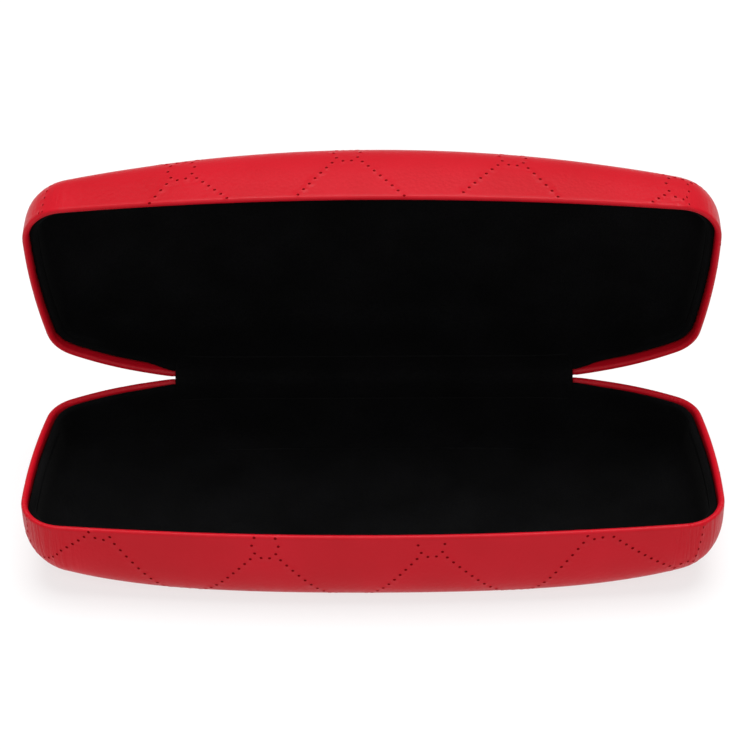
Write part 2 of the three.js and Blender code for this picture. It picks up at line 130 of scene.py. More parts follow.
# ---- Outline ----
def make_outline(step):
    """Closed outline, clockwise from the middle of the back: x, y, outward normal x, y."""
    x, y, heading = 0.0, 0.0, 0.0
    half = []
    n = math.ceil(BACK_STRAIGHT / step)
    half += [(BACK_STRAIGHT * i / n, 0.0, 0.0) for i in range(n + 1)]
    x = BACK_STRAIGHT
    for radius, turn in ARCS:
        turn = math.radians(turn)
        cx, cy = x - radius * math.sin(heading), y - radius * math.cos(heading)
        n = max(8, math.ceil(radius * turn / step))
        for i in range(1, n + 1):
            h = heading + turn * i / n
            half.append((cx + radius * math.sin(h), cy + radius * math.cos(h), h))
        heading += turn
        x, y = half[-1][:2]
    radius = x / math.sin(math.pi - heading)
    cy = y - radius * math.cos(heading)
    n = math.ceil(radius * (math.pi - heading) / step)
    for i in range(1, n + 1):
        h = heading + (math.pi - heading) * i / n
        half.append((radius * math.sin(h), cy + radius * math.cos(h), h))
    full = half + [(-a, b, 2 * math.pi - h) for a, b, h in half[-2:0:-1]]
    full = np.array(full)
    return np.stack([full[:, 0], full[:, 1], np.sin(full[:, 2]), np.cos(full[:, 2])], 1)


OUTLINE = make_outline(0.4)
COUNT = len(OUTLINE)
_edges = np.linalg.norm(np.roll(OUTLINE[:, :2], -1, 0) - OUTLINE[:, :2], axis=1)
ARC = np.concatenate([[0], np.cumsum(_edges)])  # one longer than OUTLINE
LOOP = ARC[-1]


def at_arc(s):
    """Outline values at distances round it."""
    s = np.mod(np.asarray(s, float), LOOP)
    i = np.clip(np.searchsorted(ARC, s, "right") - 1, 0, COUNT - 1)
    return at_index(i + (s - ARC[i]) / (ARC[i + 1] - ARC[i]))


def at_index(k):
    i = np.floor(k).astype(int)
    t = (k - i)[..., None]
    v = OUTLINE[i % COUNT] * (1 - t) + OUTLINE[(i + 1) % COUNT] * t
    n = v[..., 2:] / np.linalg.norm(v[..., 2:], axis=-1, keepdims=True)
    return v[..., 0], v[..., 1], n[..., 0], n[..., 1]


def arc_at_index(k):
    i = np.floor(k).astype(int)
    return ARC[i % COUNT] + (k - i) * _edges[i % COUNT]


# Share of a full turn by which the outline bends near each point: 1 in a corner, 0 on a side.
def corner_weight(s):
    s = np.mod(s, LOOP)
    out = np.zeros_like(s)
    start = BACK_STRAIGHT
    for radius, turn in ARCS:
        length = radius * math.radians(turn)
        if radius < 20:
            for a in (start, LOOP - start - length):
                d = np.maximum(np.maximum(a - s, s - a - length), 0)
                out = np.maximum(out, np.clip(1 - d / 7, 0, 1) ** 1.5)
        start += length
    return out


# ---- Wall and floor ----
def ends(form, x):
    return 1 - form["loss"] * np.abs(x / HALF_LENGTH) ** form["power"]


def depth_at(form, x, share):
    return np.minimum(form["flat"], form["depth"] * share * ends(form, x))


def wall(form, o, w):
    """Point of the outer wall: outline values o, level w from 0 at the parting plane to 1."""
    ox, oy, nx, ny = o
    inset = INSET * (1 - np.sqrt(np.clip(1 - w**WALL_POWER, 0, 1)))
    x = ox - nx * inset
    return np.stack([x, oy - ny * inset, form["side"] * depth_at(form, x, w * (1 - form["crown"]))], -1)


def smooth(t):
    t = np.clip(t, 0, 1)
    return t * t * (3 - 2 * t)


def at_hinge(x, y):
    return (y > BACK_BAND) & (np.abs(x) < NOTCH_HALF)


def near_hinge(o):
    """Rises smoothly from 0 to 1 along the back, a little before the notch for the hinge."""
    return np.where(o[1] > BACK_BAND, smooth((NEAR_HINGE - np.abs(o[0])) / NEAR_HINGE_RAMP), 0)


def rim_shape(o):
    """Rolled edge at outline values o: its top's depth, and the radius of its outer side."""
    notched = at_hinge(o[0], o[1])
    radius = RIM_ROLL + (RIM_ROLL_AT_HINGE - RIM_ROLL) * near_hinge(o)
    return np.where(notched, NOTCH_DEPTH, RIM_GAP), np.where(notched, SKIN / 2, radius)


def skin_point(form, o, t):
    """Point of the leatherette: t is 1 at the floor's edge, 0 under the rolled edge and -1 on its top."""
    top, radius = rim_shape(o)
    lowest = (top + radius) / (form["depth"] * (1 - form["crown"]) * ends(form, o[0]))
    p = wall(form, o, lowest + (1 - lowest) * np.clip(t, 0, 1))
    turn = np.clip(-t, 0, 1) * math.pi / 2
    inset = radius * (1 - np.cos(turn))
    depth = top + radius * (1 - np.sin(turn))
    rolled = np.stack([o[0] - o[2] * inset, o[1] - o[3] * inset, form["side"] * depth], -1)
    return np.where((t < 0)[..., None], rolled, p)


def floor(form, x, y, scale):
    return np.stack([x, y, form["side"] * depth_at(form, x, 1 - form["crown"] * scale**2)], -1)


RING = np.stack([OUTLINE[:, 0] - OUTLINE[:, 2] * INSET, OUTLINE[:, 1] - OUTLINE[:, 3] * INSET], 1)
CENTRE = np.array([0, -WIDTH / 2])
_polar = np.arctan2(RING[:, 1] - CENTRE[1], RING[:, 0])
_order = np.argsort(_polar)
_radius = np.linalg.norm(RING - CENTRE, axis=1)


def floor_scale(x, y):
    a, r = np.arctan2(y - CENTRE[1], x), np.hypot(x, y - CENTRE[1])
    return r / np.interp(a, _polar[_order], _radius[_order], period=2 * math.pi)


def level_at(angle):
    """Level where the wall has turned by an angle towards the floor."""
    return np.sin(angle) ** (2 / WALL_POWER)


# Steps t along the leatherette, closest together where it bends, and distances they are tabled at.
STEPS = np.concatenate(
    [level_at(np.linspace(math.pi / 2, 0.51, 40)), np.linspace(0.74, 0, 30), np.linspace(0, -1, 12)[1:]]
)
REACH_STEP = 0.1
REACH = np.arange(0, 32, REACH_STEP)


class Meridians:
    """For one half: how far up the wall a point lies, measured along the leatherette."""

    def __init__(self, form):
        o = tuple(OUTLINE[:, i][:, None] for i in range(4))
        p = skin_point(form, o, STEPS[None, :] + 0 * o[0])
        step = np.linalg.norm(np.diff(p, axis=1), axis=2)
        self.length = np.concatenate([np.zeros((COUNT, 1)), np.cumsum(step, 1)], 1)
        self.step = np.stack([np.interp(REACH, row, STEPS) for row in self.length])
        self.notched = at_hinge(OUTLINE[:, 0], OUTLINE[:, 1])

    def rows(self, k):
        """The two outline rows each index lies between, and its share of the second."""
        i = np.floor(k).astype(int) % COUNT
        j = (i + 1) % COUNT
        share = k - np.floor(k)
        x, y, _, _ = at_index(k)
        second = at_hinge(x, y) == self.notched[j]
        share = np.where(self.notched[i] != self.notched[j], np.where(second, 1.0, 0.0), share)
        return i, j, share

    def whole(self, k):
        """Distance along the leatherette from the floor's edge to the top of the rim."""
        i, j, share = self.rows(k)
        return self.length[i, -1] * (1 - share) + self.length[j, -1] * share

    def step_of(self, k, reach):
        """Step t at a distance along the leatherette from the floor's edge."""
        i, j, share = self.rows(k)
        c = np.clip(reach / REACH_STEP, 0, len(REACH) - 2)
        a = c.astype(int)
        f = c - a
        first = self.step[i, a] * (1 - f) + self.step[i, a + 1] * f
        second = self.step[j, a] * (1 - f) + self.step[j, a + 1] * f
        return first * (1 - share) + second * share


def foot_on_ring(q):
    """Outline index of the ring point that each flat point q lies straight out from, and how far."""
    index = np.empty(len(q))
    for c in range(0, len(q), CHUNK):
        d = ((q[c : c + CHUNK, None, :] - RING[None]) ** 2).sum(2)
        index[c : c + CHUNK] = d.argmin(1)
    k = index.astype(int)

    def along(i):
        i = i % COUNT
        d = q - RING[i]
        return d[:, 0] * OUTLINE[i, 3] - d[:, 1] * OUTLINE[i, 2]

    a = np.where(along(k) >= 0, k, k - 1)
    ta, tb = along(a), along(a + 1)
    t = np.clip(ta / np.where(np.abs(ta - tb) < 1e-12, 1, ta - tb), 0, 1)
    a = np.where(a < 0, a + COUNT, a)
    k = a + t
    _, _, nx, ny = at_index(k)
    foot = RING[a % COUNT] * (1 - t)[:, None] + RING[(a + 1) % COUNT] * t[:, None]
    d = q - foot
    return k, d[:, 0] * nx + d[:, 1] * ny


def sheet(form, o, distance, levels, scales):
    """Rings a distance in from the outer surface: up the wall at the levels, then over the floor."""
    rim = np.stack([o[0] - o[2] * INSET, o[1] - o[3] * INSET], 1)
    rings = [wall(form, o, w) for w in levels]
    for scale in scales:
        x, y = rim[:, 0] * scale, CENTRE[1] + (rim[:, 1] - CENTRE[1]) * scale
        rings.append(floor(form, x, y, scale))
    grid = np.stack(rings)
    along = np.roll(grid, -1, 1) - np.roll(grid, 1, 1)
    down = np.gradient(grid, axis=0)
    inward = np.cross(along, down)
    inward *= form["side"] / np.linalg.norm(inward, axis=2, keepdims=True)
    centre = floor(form, 0.0, CENTRE[1], 0.0) - [0, 0, form["side"] * distance]
    return grid + inward * distance, centre


def depth_ring(form, o, inset, depth):
    """Ring round the wall, in from the outline and below the parting plane."""
    return np.stack([o[0] - o[2] * inset, o[1] - o[3] * inset, form["side"] * (depth + 0 * o[0])], -1)


def strip_faces(first, second):
    """Four-sided faces between two closed loops of point numbers."""
    a, b = np.asarray(first), np.asarray(second)
    return np.stack([a, np.roll(a, -1), np.roll(b, -1), b], 1).tolist()


# ---- Mesh helpers ----
def new_object(name, points, faces, materials, face_material=None):
    mesh = bpy.data.meshes.new(name)
    mesh.from_pydata([tuple(p) for p in points], [], [tuple(int(i) for i in f) for f in faces])
    for m in materials:
        mesh.materials.append(m)
    if face_material is not None:
        mesh.polygons.foreach_set("material_index", np.asarray(face_material, np.int32))
    mesh.polygons.foreach_set("use_smooth", np.ones(len(mesh.polygons), bool))
    mesh.update()
    obj = bpy.data.objects.new(name, mesh)
    bpy.context.scene.collection.objects.link(obj)
    return obj


def normals_of(points, faces):
    n = np.zeros_like(points)
    f = np.asarray(faces)
    a, b, c = points[f[:, 0]], points[f[:, 1]], points[f[:, 2]]
    fn = np.cross(b - a, c - a)
    for i in range(3):
        np.add.at(n, f[:, i], fn)
    return n / np.maximum(np.linalg.norm(n, axis=1, keepdims=True), 1e-12)


def point_attribute(obj, name, values):
    layer = obj.data.attributes.new(name, "FLOAT", "POINT")
    layer.data.foreach_set("value", np.asarray(values, np.float32))


def point_uv(obj, uv):
    layer = obj.data.uv_layers.new(name="UVMap")
    loops = np.empty(len(obj.data.loops), np.int32)
    obj.data.loops.foreach_get("vertex_index", loops)
    layer.data.foreach_set("uv", np.asarray(uv, np.float32)[loops].ravel())


# ---- Materials ----
class Nodes:
    def __init__(self, name):
        self.material = bpy.data.materials.new(name)
        self.material.use_nodes = True
        self.tree = self.material.node_tree
        self.tree.nodes.clear()
        out = self.add("ShaderNodeOutputMaterial")
        self.shader = self.add("ShaderNodeBsdfPrincipled")
        self.link(self.shader.outputs[0], out.inputs[0])

    def add(self, kind, **values):
        node = self.tree.nodes.new(kind)
        for key, value in values.items():
            if key in node.inputs:
                node.inputs[key].default_value = value
            else:
                setattr(node, key, value)
        return node

    def link(self, a, b):
        self.tree.links.new(a, b)

    def set(self, **values):
        for key, value in values.items():
            self.shader.inputs[key.replace("_", " ")].default_value = value

    def ramp(self, source, low, high, a, b):
        ramp = self.add("ShaderNodeMapRange")
        ramp.inputs["From Min"].default_value = low
        ramp.inputs["From Max"].default_value = high
        ramp.inputs["To Min"].default_value = a
        ramp.inputs["To Max"].default_value = b
        self.link(source, ramp.inputs["Value"])
        return ramp.outputs["Result"]

    def colours(self, source, stops):
        ramp = self.add("ShaderNodeValToRGB")
        elements = ramp.color_ramp.elements
        while len(elements) < len(stops):
            elements.new(0.5)
        for element, (position, colour) in zip(elements, stops):
            element.position = position
            element.color = (*colour, 1)
        self.link(source, ramp.inputs["Fac"])
        return ramp.outputs["Color"]

    def bump(self, height, distance, strength, normal=None):
        node = self.add("ShaderNodeBump", Distance=distance, Strength=strength)
        self.link(height, node.inputs["Height"])
        if normal is not None:
            self.link(normal, node.inputs["Normal"])
        return node.outputs["Normal"]


def leatherette_material(name, light, dark, gathers=True, gloss=0.14):
    m = Nodes(name)
    place = m.add("ShaderNodeTexCoord").outputs["Object"]
    broad = m.add("ShaderNodeTexNoise", Scale=55.0, Detail=3.0)
    m.link(place, broad.inputs["Vector"])
    m.link(m.colours(broad.outputs["Fac"], [(0.3, dark), (0.7, light)]), m.shader.inputs["Base Color"])
    fine = m.add("ShaderNodeTexNoise", Scale=900.0, Detail=2.0)
    m.link(place, fine.inputs["Vector"])
    m.link(m.ramp(fine.outputs["Fac"], 0.3, 0.7, 0.34, 0.46), m.shader.inputs["Roughness"])
    grain = m.add("ShaderNodeTexVoronoi", Scale=1150.0, feature="SMOOTH_F1", Smoothness=0.4, Randomness=1.0)
    m.link(place, grain.inputs["Vector"])
    normal = m.bump(grain.outputs["Distance"], 0.00012, 0.22)
    normal = m.bump(broad.outputs["Fac"], 0.0006, 0.12, normal)
    if gathers:
        uv = m.add("ShaderNodeUVMap").outputs["UV"]
        stretch = m.add("ShaderNodeMapping")
        stretch.inputs["Scale"].default_value = (95.0, 5.0, 1.0)
        m.link(uv, stretch.inputs["Vector"])
        pleats = m.add("ShaderNodeTexNoise", Scale=1.0, Detail=2.0, Distortion=0.7)
        m.link(stretch.outputs["Vector"], pleats.inputs["Vector"])
        weight = m.add("ShaderNodeAttribute", attribute_name="gather")
        deep = m.add("ShaderNodeMath", operation="MULTIPLY")
        m.link(pleats.outputs["Fac"], deep.inputs[0])
        m.link(weight.outputs["Fac"], deep.inputs[1])
        normal = m.bump(deep.outputs[0], 0.0007, 0.55, normal)
    m.link(normal, m.shader.inputs["Normal"])
    m.set(Specular_IOR_Level=gloss)
    return m.material


def flock_material(name):
    m = Nodes(name)
    place = m.add("ShaderNodeTexCoord").outputs["Object"]
    pile = m.add("ShaderNodeTexNoise", Scale=2600.0, Detail=2.0)
    m.link(place, pile.inputs["Vector"])
    nap = m.add("ShaderNodeTexNoise", Scale=70.0, Detail=3.0)
    m.link(place, nap.inputs["Vector"])
    blend = m.add("ShaderNodeMath", operation="MULTIPLY")
    m.link(pile.outputs["Fac"], blend.inputs[0])
    m.link(nap.outputs["Fac"], blend.inputs[1])
    m.link(
        m.colours(blend.outputs[0], [(0.1, (0.0012, 0.0012, 0.0013)), (0.45, (0.0038, 0.0038, 0.0041))]),
        m.shader.inputs["Base Color"],
    )
    m.link(m.bump(pile.outputs["Fac"], 0.0002, 0.5), m.shader.inputs["Normal"])
    m.set(Roughness=0.95, Specular_IOR_Level=0.04, Sheen_Weight=0.012, Sheen_Roughness=0.45)
    return m.material


def steel_material(name, colour, roughness, along=(30.0, 900.0, 900.0)):
    m = Nodes(name)
    place = m.add("ShaderNodeTexCoord").outputs["Object"]
    stretch = m.add("ShaderNodeMapping")
    stretch.inputs["Scale"].default_value = along
    m.link(place, stretch.inputs["Vector"])
    lines = m.add("ShaderNodeTexNoise", Scale=3.0, Detail=3.0)
    m.link(stretch.outputs["Vector"], lines.inputs["Vector"])
    dark = tuple(c * 0.82 for c in colour)
    m.link(m.colours(lines.outputs["Fac"], [(0.3, dark), (0.7, colour)]), m.shader.inputs["Base Color"])
    worn = m.ramp(lines.outputs["Fac"], 0.3, 0.7, roughness - 0.06, roughness + 0.08)
    m.link(worn, m.shader.inputs["Roughness"])
    m.link(m.bump(lines.outputs["Fac"], 0.00003, 0.2), m.shader.inputs["Normal"])
    m.set(Metallic=1.0)
    return m.material


LIGHT_RED, DARK_RED = (0.48, 0.003, 0.012), (0.44, 0.002, 0.009)
PRICK_LIGHT, PRICK_DARK = (0.19, 0.0, 0.002), (0.15, 0.0, 0.001)
RED = leatherette_material("red_leatherette", LIGHT_RED, DARK_RED)
STRIP_RED = leatherette_material("spine_leatherette", LIGHT_RED, DARK_RED, gathers=False)
PRICK = leatherette_material("prick_floor", PRICK_LIGHT, PRICK_DARK, gathers=False, gloss=0.02)
FLOCK = flock_material("black_flock")
SHEET_STEEL = steel_material("sheet_steel", (0.56, 0.57, 0.59), 0.36)
SPRING_STEEL = steel_material("spring_steel", (0.33, 0.35, 0.38), 0.28, (900.0, 900.0, 30.0))
RIVET_STEEL = steel_material("rivet_steel", (0.72, 0.72, 0.73), 0.3, (600.0, 600.0, 600.0))


# ---- Pricked dots in the flat leatherette: small octagons linked by slanting rows ----
LATTICE_X = 39.25
LATTICE_V = 22.9
LATTICE_REACH = 4
OCTAGON = [(sx * x, sv * v) for x, v in ((1.0, 3.65), (2.5, 2.35)) for sx in (1, -1) for sv in (1, -1)]
OCTAGON += [(3.15, 0.0), (-3.15, 0.0)]
LINK_START = 0.182
LINK_DOTS = 10
BEND_LENGTH = 70
BASE_PATTERN = (46.0, 14.1, 1.0, 0.0234, 0.6, 2)
LID_PATTERN = (31.8, -5.7, 1.08, -0.0266, 2.0, 4)


def dot_centres(row_v, row_x, stretch, slope, bend, power):
    """Flat dot centres; row_v is one row's distance in front of the centre line, row_x a node in it.
    The rows slope, and bend towards the front at the ends."""
    dots = []
    step = LATTICE_V * stretch
    for j in range(-LATTICE_REACH, LATTICE_REACH + 1):
        v = j * step
        for i in range(-LATTICE_REACH, LATTICE_REACH + 1):
            x = row_x + i * LATTICE_X + (LATTICE_X / 2 if j % 2 else 0)
            dots += [(x + dx, v + dv * stretch) for dx, dv in OCTAGON]
            for side in (1, -1):
                for f in np.linspace(LINK_START, 1 - LINK_START, LINK_DOTS):
                    dots.append((x + side * f * LATTICE_X / 2, v + f * step))
    dots = np.array(dots)
    x, v = dots[:, 0], dots[:, 1]
    bent = bend * np.abs(x / BEND_LENGTH) ** power
    return np.stack([x - slope * v, CENTRE[1] - row_v - v - slope * x - bent], 1)


PRICK_RINGS = ((0.56, 0.0), (0.45, 0.04), (0.36, -0.02), (0.24, -0.13))  # radius, height
PRICK_BOTTOM = -0.15
PRICK_SIDES = 8
PITCH = 1.45
RIM_PITCH = 1.15
RIM_ROWS = (0.19, 0.38, 0.57, 0.76, 0.95, 1.6)  # distances of the rows beside the rim
PLEAT = 0.05
PLEAT_LENGTH = 9.0  # pleats grow over this far from the floor's edge


def cover(form, pattern):
    """Leatherette cover: a fine mesh cut out flat with its dots, bent to the shell, then rolled in."""
    way = Meridians(form)
    # Rim stations, closer together where the rim drops for the hinge.
    n = int(LOOP / RIM_PITCH)
    arcs = list(np.arange(n) * LOOP / n)
    edge_arc = np.interp(NOTCH_HALF, OUTLINE[: COUNT // 4, 0], ARC[: COUNT // 4])
    for a in (edge_arc, LOOP - edge_arc):
        arcs = [s for s in arcs if abs(s - a) > 0.9]
        arcs += [a - 0.5, a - 0.12, a + 0.12, a + 0.5]
    arcs = np.sort(np.array(arcs))
    index = np.searchsorted(ARC, arcs, "right") - 1
    k = index + (arcs - ARC[index]) / (ARC[index + 1] - ARC[index])
    o = at_index(k)
    reach = way.whole(k)
    ring = np.stack([o[0] - o[2] * INSET, o[1] - o[3] * INSET], 1)
    border = ring + np.stack([o[2], o[3]], 1) * reach[:, None]
    count = len(border)

    # Dots that lie on the wall or the floor, clear of the rim.
    dots = dot_centres(*pattern)
    dk, dr = foot_on_ring(dots)
    loop_arcs, loop_reach = np.append(arcs, arcs[0] + LOOP), np.append(reach, reach[0])
    dots = dots[dr < np.interp(arc_at_index(dk), loop_arcs, loop_reach) - 0.6]

    # Rows beside the rim, so that it rolls over smoothly.
    clear = np.abs(np.abs(arcs - LOOP / 2) - (LOOP / 2 - edge_arc)) > 0.7
    outward = np.stack([o[2], o[3]], 1)
    rows = np.concatenate([(ring + outward * (reach - d)[:, None])[clear] for d in RIM_ROWS])
    rows = rows[((rows[:, None, :] - dots[None]) ** 2).sum(2).min(1) > 0.8**2]

    # Filling points on a triangular grid, kept off the dots and the border.
    lo, hi = border.min(0), border.max(0)
    gx, gy = np.meshgrid(np.arange(lo[0], hi[0], PITCH), np.arange(lo[1], hi[1], PITCH * math.sqrt(3) / 2))
    gx = gx + (np.arange(len(gx)) % 2)[:, None] * PITCH / 2
    grid = np.stack([gx.ravel(), gy.ravel()], 1)
    gk, gr = foot_on_ring(grid)
    grid = grid[gr < np.interp(arc_at_index(gk), loop_arcs, loop_reach) - RIM_ROWS[-1] - 0.7]
    keep = np.ones(len(grid), bool)
    for c in range(0, len(grid), CHUNK):
        d = ((grid[c : c + CHUNK, None, :] - dots[None]) ** 2).sum(2)
        keep[c : c + CHUNK] = d.min(1) > 0.9**2
    grid = np.concatenate([grid[keep], rows])

    angle = np.arange(PRICK_SIDES) * 2 * math.pi / PRICK_SIDES
    circle = np.stack([np.cos(angle), np.sin(angle)], 1)
    plain_count = count + len(grid)
    flat, lift, kind = [border, grid], [np.zeros(plain_count)], [np.zeros(plain_count, int)]
    for number, (radius, height) in enumerate(PRICK_RINGS):
        pts = (dots[:, None, :] + circle[None] * radius).reshape(-1, 2)
        flat.append(pts)
        lift.append(np.full(len(pts), height))
        kind.append(np.full(len(pts), number + 1))
    flat.append(dots)
    lift.append(np.full(len(dots), PRICK_BOTTOM))
    kind.append(np.full(len(dots), 5))
    flat, lift, kind = np.concatenate(flat), np.concatenate(lift), np.concatenate(kind)

    out, _, faces, origin, _, _ = delaunay_2d_cdt([tuple(p) for p in flat], [], [list(range(count))], 1, 1e-6)
    source = np.array([a[0] if a else -1 for a in origin])
    if (source < 0).any() or len(set(source[source < count])) != count:
        raise ValueError("the cover's flat pattern crossed itself")
    q, lift, kind = flat[source], lift[source], kind[source]
    faces = np.array([f for f in faces])

    # Bend the flat pattern to the shell.
    k, reach_q = foot_on_ring(q)
    step_q = way.step_of(k, np.maximum(reach_q, 0))
    at_rim = source < count
    step_q[at_rim] = -1
    p = skin_point(form, at_index(k), step_q)
    p[at_rim] = skin_point(form, o, np.full(count, -1.0))[source[at_rim]]
    inside = (reach_q < 0) & ~at_rim
    p[inside] = floor(form, q[inside, 0], q[inside, 1], floor_scale(q[inside, 0], q[inside, 1]))
    if form is LID:
        faces = faces[:, ::-1]
    normal = normals_of(p, faces)
    if (normal[:, 2] * form["side"]).sum() < 0:
        faces, normal = faces[:, ::-1], -normal
    around = arc_at_index(k)
    gather = form["gather"] * corner_weight(around) * np.clip(reach_q / PLEAT_LENGTH, 0, 1)
    below_rim = np.interp(around, loop_arcs, loop_reach) - reach_q
    flatten = np.clip((below_rim - 1) / 4, 0, 1)
    pleat = np.interp(around, np.linspace(0, LOOP, 260), RNG.normal(size=260), period=LOOP)
    p = p + normal * (lift + PLEAT * pleat * gather * flatten)[:, None]
    dark = (kind[faces] >= 3).all(1).astype(int)

    # Roll the rim over, turn it in, and close the skin behind.
    border_at = np.empty(count, int)
    border_at[source[at_rim]] = np.nonzero(at_rim)[0]
    top, inward = rim_shape(o)
    plain = top < 1
    half = np.where(plain, RIM_WIDTH - inward, SKIN / 2)
    bends = np.radians([15, 30, 45, 60, 75, 90])
    rings = [(inward + half * math.sin(a), top + half * (1 - math.cos(a))) for a in bends]
    rings.append((inward + half, np.where(plain, 1.9, 3.2)))
    rings.append((inward + half, np.full(count, TURN_IN_DEPTH)))
    ripple = np.interp(arcs, np.linspace(0, LOOP, 300), RNG.normal(size=300), period=LOOP)
    rings = [(r + 0.035 * ripple * (n + 1) / len(rings), d) for n, (r, d) in enumerate(rings)]
    rings.append((np.where(plain, TURN_IN_OUT, SKIN), np.where(plain, TURN_IN_DEPTH, 4.4)))
    rings.append((np.where(plain, TURN_IN_OUT, SKIN), np.where(plain, FOLD_DEPTH, 4.6)))
    rings.append((np.full(count, SKIN), np.where(plain, FOLD_DEPTH, 4.8)))
    loops = [depth_ring(form, o, r, d) for r, d in rings]
    levels = [0.3, 0.42] + [level_at(a) for a in np.linspace(0.3, math.pi / 2, 9)]
    back, centre = sheet(form, o, SKIN, levels, (0.8, 0.5, 0.25))
    loops += list(back)
    everything, all_faces, mats = [p], faces.tolist(), list(dark)
    before = border_at
    for n, loop in enumerate(loops):
        now = len(p) + n * count + np.arange(count)
        quads = strip_faces(before, now)
        all_faces += quads if form is LID else [f[::-1] for f in quads]
        everything.append(loop)
        before = now
    everything.append(centre[None])
    tip = len(p) + len(loops) * count
    cap = [[a, b, tip] for a, b in zip(before.tolist(), np.roll(before, -1).tolist())]
    all_faces += cap if form is LID else [f[::-1] for f in cap]
    mats += [0] * (len(all_faces) - len(mats))
    uv = [np.stack([around, np.maximum(reach_q, 0)], 1)]
    uv += [np.stack([arcs, reach + 0.5 * (n + 1)], 1) for n in range(len(loops))] + [np.zeros((1, 2))]
    gathers = np.concatenate([gather] + [form["gather"] * corner_weight(arcs)] * len(loops) + [[0]])
    row = to_row(np.concatenate(everything), form)
    obj = new_object(form["word"] + "_leatherette", row, all_faces, [RED, PRICK], mats)
    point_uv(obj, np.concatenate(uv) / 100)
    point_attribute(obj, "gather", gathers)
    return obj


# ---- Flocked linings ----
def lining(form):
    """Flocked tray: thin where the hinge's leaf stands behind it, its edge rising towards the hinge."""
    n = int(LOOP / 1.3)
    o = at_arc(np.arange(n) * LOOP / n)
    at_leaf = (o[1] > BACK_BAND) & (np.abs(o[0]) < LEAF_ROOM_HALF)
    edge = LINING_EDGE + (form["back_edge"] - LINING_EDGE) * smooth((o[1] + 22) / 14)
    edge = edge + (LINING_EDGE_AT_HINGE - edge) * near_hinge(o)
    out = np.where(at_leaf, LINING_OUT_AT_LEAF, LINING_OUT)
    half = (LINING_IN - out) / 2

    turns = np.linspace(0.3, math.pi / 2, 10)
    levels = [0.3, 0.36, 0.42] + [level_at(a) for a in turns]
    hidden, hidden_centre = sheet(form, o, TURN_IN_OUT, levels, (0.8, 0.5, 0.25))
    for row in hidden[:2]:
        row[at_leaf] = depth_ring(form, o, LINING_OUT_AT_LEAF, np.abs(row[:, 2]))[at_leaf]
    loops = list(hidden[::-1])
    loops.append(depth_ring(form, o, np.where(at_leaf, LINING_OUT_AT_LEAF, TURN_IN_OUT), 4.3))
    loops.append(depth_ring(form, o, out, 4.25))
    for a in np.radians([0, 25, 50, 75, 90, 105, 130, 155, 180]):
        inset = out + half * (1 - math.cos(a))
        loops.append(depth_ring(form, o, inset, edge + half * (1 - math.sin(a))))
    loops.append(depth_ring(form, o, LINING_IN, edge + 2.0))
    levels = [0.26, 0.34, 0.44, 0.53] + [level_at(a) for a in np.linspace(0.3, math.pi / 2, 18)]
    shown, centre = sheet(form, o, LINING_IN, levels, np.linspace(1, 0, 15)[1:-1])
    loops += list(shown)
    points = np.concatenate([hidden_centre[None], *loops, centre[None]])
    points[:, 2] += RNG.normal(size=len(points)) * 0.01
    faces = []
    for r in range(len(loops) - 1):
        a = 1 + r * n + np.arange(n)
        faces += strip_faces(a, a + n)
    first, last = 1 + np.arange(n), 1 + (len(loops) - 1) * n + np.arange(n)
    faces += [[0, b, a] for a, b in zip(first.tolist(), np.roll(first, -1).tolist())]
    faces += [[len(points) - 1, a, b] for a, b in zip(last.tolist(), np.roll(last, -1).tolist())]
    if form is BASE:
        faces = [f[::-1] for f in faces]
    return new_object(form["word"] + "_flock", to_row(points, form), faces, [FLOCK])


# ---- Strips across the hinge ----
def back_line(x, inset):
    """Back edge of the outline moved in by a distance, measured from the hinge axis."""
    x0, y0, nx, ny = OUTLINE[: COUNT // 4].T
    return np.interp(np.abs(x), x0 - nx * inset, y0 - ny * inset) + AXIS_INSET


def with_lid_half(path):
    """The lid's half of a path mirrors the base's half, then tips back with the lid."""
    mirrored = np.stack([path[::-1, 0], -path[::-1, 1]], 1)
    c, s = math.cos(-OPEN), math.sin(-OPEN)
    tipped = np.stack([c * mirrored[:, 0] - s * mirrored[:, 1], s * mirrored[:, 0] + c * mirrored[:, 1]], 1)
    return np.concatenate([path, tipped])


def arc_path(radius, start, end, steps):
    a = start + (end - start) * np.arange(steps) / (steps - 0.5)
    return np.stack([radius * np.cos(a), radius * np.sin(a)], 1)


def inner_path(x, lift, feather):
    """Round the inside of the hinge; the edges are thinned by feather so that they sink into the lining."""
    lift = lift * (1 - 0.8 * smooth((np.abs(x) - 47.9) / 1.5))
    radius = -back_line(x, LINING_IN + 0.1) + lift
    wall_part = np.array([[-radius + f, z] for z, f in zip((-5.0, -4.2, -3.0, -1.5), feather)])
    return with_lid_half(np.concatenate([wall_part, arc_path(radius, math.pi, math.pi - OPEN / 2, 9)]))


def outer_path(x, lift, edge_lift):
    """Round the outside of the knuckles; its edges lie closer to the cover by edge_lift."""
    face = back_line(x, -0.05)
    radius = SPINE_RADIUS + lift
    start = math.atan2(-math.sqrt(radius**2 - (face + lift) ** 2), face + lift)
    halfway = (edge_lift + lift) / 2
    wall_part = [[face + d, z] for d, z in ((edge_lift, -6.0), (halfway, -5.4), (lift, -4.6), (lift, -3.0))]
    return with_lid_half(np.concatenate([np.array(wall_part), arc_path(radius, start, -OPEN / 2, 9)]))


